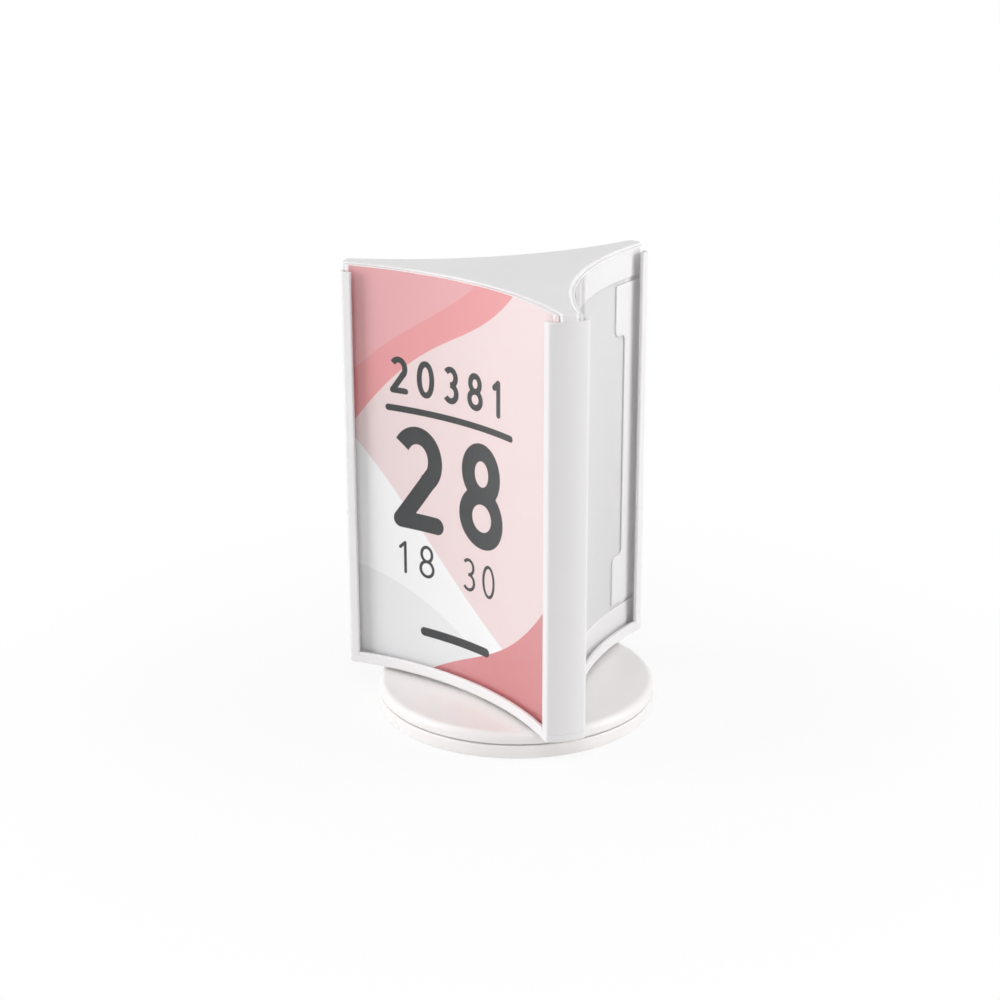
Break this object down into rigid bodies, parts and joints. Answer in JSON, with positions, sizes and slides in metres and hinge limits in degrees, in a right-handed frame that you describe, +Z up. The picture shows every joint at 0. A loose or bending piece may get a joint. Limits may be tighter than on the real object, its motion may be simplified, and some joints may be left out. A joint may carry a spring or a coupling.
{
  "type": "rotating sign holder",
  "caption": "Free-standing three-sided table display tower with hollow faces for portrait cards behind clear covers, turning on a round two-disc base.",
  "frame": {"origin": "on the turning axis, at the height of the floor that the feet stand on", "axes": "+Z up along the turning axis; -Y is where the card face (face 1) looks, and the corner posts stand at -30, 90 and 210 degrees from +X"},
  "size_m": [0.1134, 0.1124, 0.1618],
  "materials": {
    "tower_white": "satin moulded and extruded plastic",
    "turntable_white": "satin moulded plastic",
    "clear_sheet": "clear polished sheet",
    "card_print": "printed coated card",
    "foot_rubber": "soft matt",
    "plug_plastic": "natural nylon"
  },
  "bodies": {
    "base": {"base_disc": "turntable_white", "rubber_feet": "foot_rubber"},
    "rotor": {"turntable_disc": "turntable_white", "pivot_plug": "plug_plastic", "bottom_tray": "tower_white", "corner_post_1": "tower_white", "corner_post_2": "tower_white", "corner_post_3": "tower_white", "back_panel_1": "tower_white", "back_panel_2": "tower_white", "back_panel_3": "tower_white", "top_cap": "tower_white"},
    "cover_1": {"clear_cover_1": "clear_sheet"},
    "cover_2": {"clear_cover_2": "clear_sheet"},
    "cover_3": {"clear_cover_3": "clear_sheet"},
    "card": {"insert_card": "card_print"}
  },
  "joints": [
    {"name": "turntable_spin", "type": "hinge", "parent": "base", "child": "rotor", "pos_m": [0, 0, 0], "axis": [0, 0, 1], "continuous": true},
    {"name": "cover_1_slide", "type": "slide", "parent": "rotor", "child": "cover_1", "axis": [0, 0, 1], "range_m": [0, 0.15]},
    {"name": "cover_2_slide", "type": "slide", "parent": "rotor", "child": "cover_2", "axis": [0, 0, 1], "range_m": [0, 0.15]},
    {"name": "cover_3_slide", "type": "slide", "parent": "rotor", "child": "cover_3", "axis": [0, 0, 1], "range_m": [0, 0.15]},
    {"name": "card_slide", "type": "slide", "parent": "rotor", "child": "card", "axis": [0, 0, 1], "range_m": [0, 0.15]}
  ]
}
